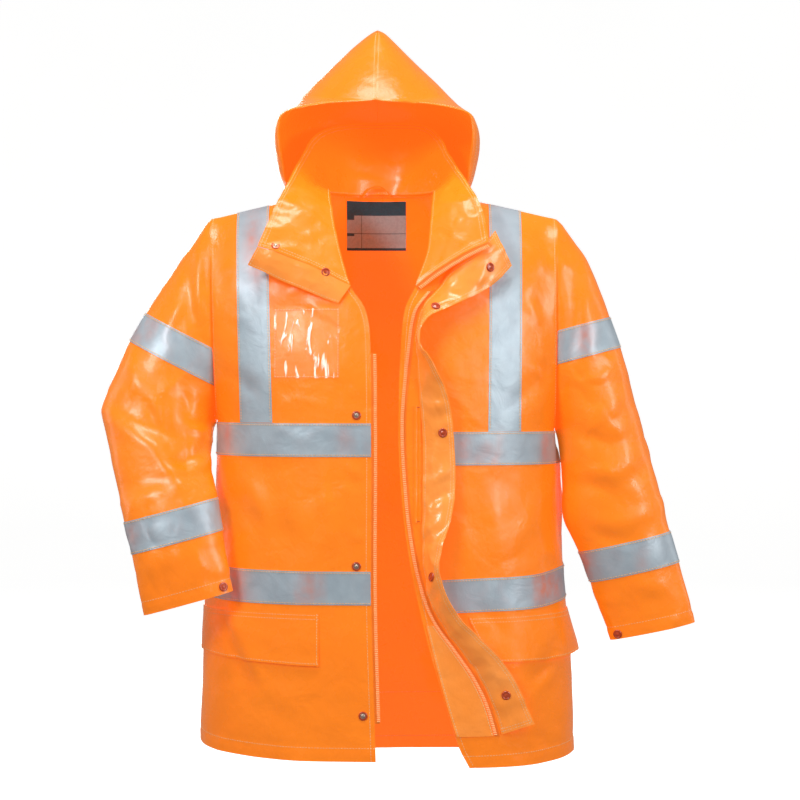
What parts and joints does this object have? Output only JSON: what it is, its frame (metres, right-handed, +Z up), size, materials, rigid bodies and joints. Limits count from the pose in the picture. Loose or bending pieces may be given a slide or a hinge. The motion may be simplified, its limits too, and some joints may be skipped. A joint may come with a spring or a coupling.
{
  "type": "hi-vis work jacket",
  "caption": "Hooded hi-vis rain jacket in worn form, hollow and open at the front, with sewn-on retroreflective tape, flap pockets and a folded-back storm flap.",
  "frame": {"origin": "between the shoulders, where the wearer carries the jacket", "axes": "+Z up, the open front faces -Y, +X to the right when looking at the front, so the wearer's right side is at -X"},
  "size_m": [0.911, 0.3389, 1.1498],
  "materials": {
    "coated_cloth": "polyurethane-coated polyester, orange, semi-gloss",
    "cloth_inside": "coated inner face, pale orange, semi-gloss",
    "reflective_tape": "silver glass-bead retroreflective tape",
    "zip": "orange woven tape with moulded teeth",
    "clear_film": "clear soft PVC film",
    "snap": "red-brown snap caps",
    "label": "printed woven label, slate and grey"
  },
  "bodies": {
    "root": {"front_right": "coated_cloth", "front_left": "coated_cloth", "back": "coated_cloth", "sleeve_right": "coated_cloth", "sleeve_end_right": "coated_cloth", "sleeve_left": "coated_cloth", "sleeve_end_left": "coated_cloth", "collar": "cloth_inside", "hood_right": "coated_cloth", "hood_left": "coated_cloth", "tape_brace_front_right": "reflective_tape", "tape_brace_front_left": "reflective_tape", "tape_brace_back_right": "reflective_tape", "tape_brace_back_left": "reflective_tape", "tape_chest_right": "reflective_tape", "tape_chest_left": "reflective_tape", "tape_chest_back": "reflective_tape", "tape_waist_right": "reflective_tape", "tape_waist_left": "reflective_tape", "tape_waist_back": "reflective_tape", "tape_sleeve_right_upper": "reflective_tape", "tape_sleeve_right_lower": "reflective_tape", "tape_sleeve_left_upper": "reflective_tape", "tape_sleeve_left_lower": "reflective_tape", "zip_left": "zip", "zip_right": "zip", "zip_left_collar": "zip", "guard_strip": "cloth_inside", "pocket_welt": "cloth_inside", "storm_flap": "cloth_inside", "chin_guard": "coated_cloth", "id_pocket": "clear_film", "pocket_flap_right": "coated_cloth", "pocket_flap_left": "coated_cloth", "neck_label": "label", "hanger_loop": "coated_cloth", "snap_flap_1": "snap", "snap_flap_2": "snap", "snap_flap_3": "snap", "snap_flap_4": "snap", "snap_flap_5": "snap", "snap_front_1": "snap", "snap_front_2": "snap", "snap_front_3": "snap", "snap_collar_1": "snap", "snap_collar_2": "snap", "snap_cuff_right": "snap", "snap_cuff_left": "snap"}
  },
  "joints": []
}
